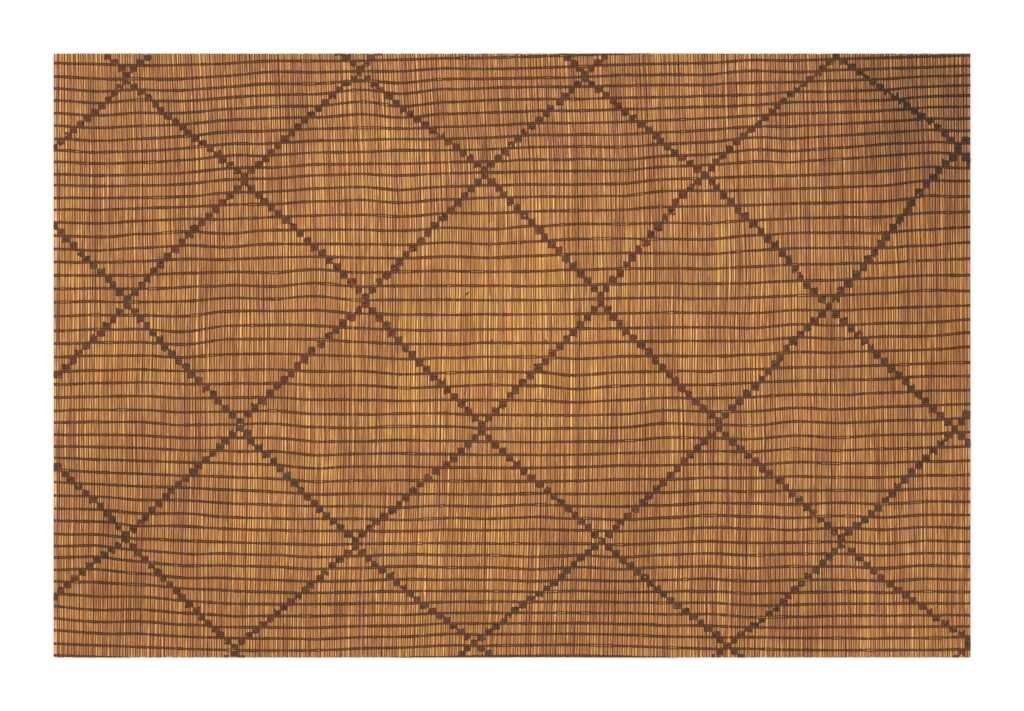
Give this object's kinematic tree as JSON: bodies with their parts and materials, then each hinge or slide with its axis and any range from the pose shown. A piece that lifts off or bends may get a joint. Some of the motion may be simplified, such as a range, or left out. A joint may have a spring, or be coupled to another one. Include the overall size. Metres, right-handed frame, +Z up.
{
  "type": "tuareg mat",
  "caption": "Flat floor mat of straight reeds bound by rows of leather thong, with a diamond lattice of small leather blocks.",
  "frame": {"origin": "on the surface the mat lies on, under the middle of the mat", "axes": "+X across the reeds, along the thongs; +Y along the reeds; +Z up, out of the face with the lattice"},
  "size_m": [0.9168, 0.6038, 0.0048],
  "materials": {
    "reed": "satin dry grass stems",
    "leather": "matt dark brown goat leather"
  },
  "bodies": {
    "root": {"reed_panel": "reed", "thong_00": "leather", "thong_01": "leather", "thong_02": "leather", "thong_03": "leather", "thong_04": "leather", "thong_05": "leather", "thong_06": "leather", "thong_07": "leather", "thong_08": "leather", "thong_09": "leather", "thong_10": "leather", "thong_11": "leather", "thong_12": "leather", "thong_13": "leather", "thong_14": "leather", "thong_15": "leather", "thong_16": "leather", "thong_17": "leather", "thong_18": "leather", "thong_19": "leather", "thong_20": "leather", "thong_21": "leather", "thong_22": "leather", "thong_23": "leather", "thong_24": "leather", "thong_25": "leather", "thong_26": "leather", "thong_27": "leather", "thong_28": "leather", "thong_29": "leather", "thong_30": "leather", "thong_31": "leather", "thong_32": "leather", "thong_33": "leather", "thong_34": "leather", "thong_35": "leather", "thong_36": "leather", "thong_37": "leather", "thong_38": "leather", "thong_39": "leather", "thong_40": "leather", "thong_41": "leather", "thong_42": "leather", "thong_43": "leather", "thong_44": "leather", "thong_45": "leather", "thong_46": "leather"}
  },
  "joints": []
}
